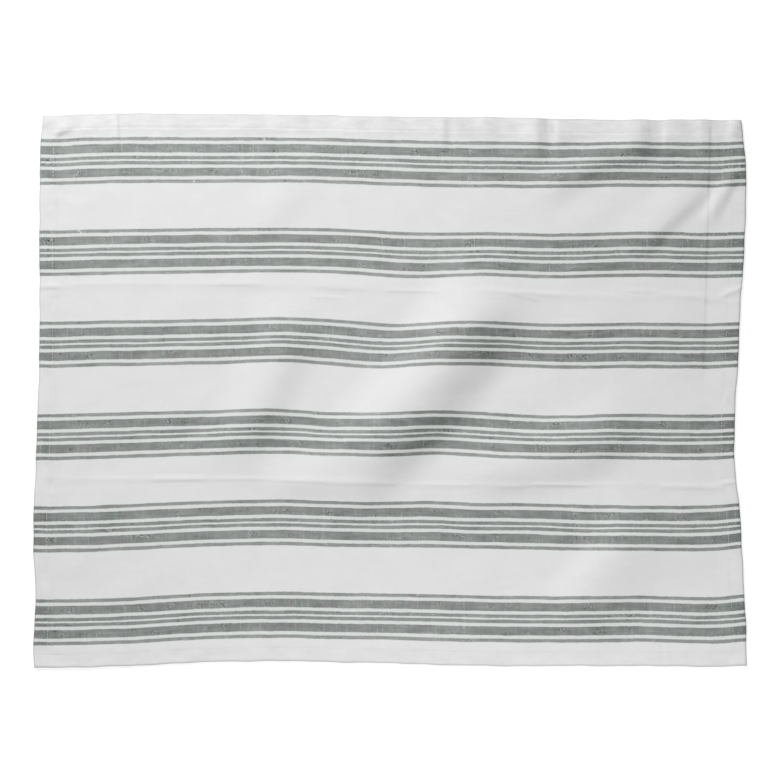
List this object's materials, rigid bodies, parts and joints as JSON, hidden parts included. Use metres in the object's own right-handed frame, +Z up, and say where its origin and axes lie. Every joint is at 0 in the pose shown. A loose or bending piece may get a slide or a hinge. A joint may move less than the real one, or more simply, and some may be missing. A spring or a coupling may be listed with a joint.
{
  "type": "tea towel",
  "caption": "Striped cotton tea towel lying flat and face up, with turned hems on all sides and a few soft diagonal folds.",
  "frame": {"origin": "on the surface that the towel lies on, below the middle of its box", "axes": "+X along the stripes, +Y across them towards the far long hem, +Z up, out of the face of the cloth"},
  "size_m": [0.6556, 0.5104, 0.0135],
  "materials": {
    "striped_cotton": "matt white cotton, woven with bands of grey-green stripes"
  },
  "bodies": {
    "root": {"tea_towel": "striped_cotton"}
  },
  "joints": []
}
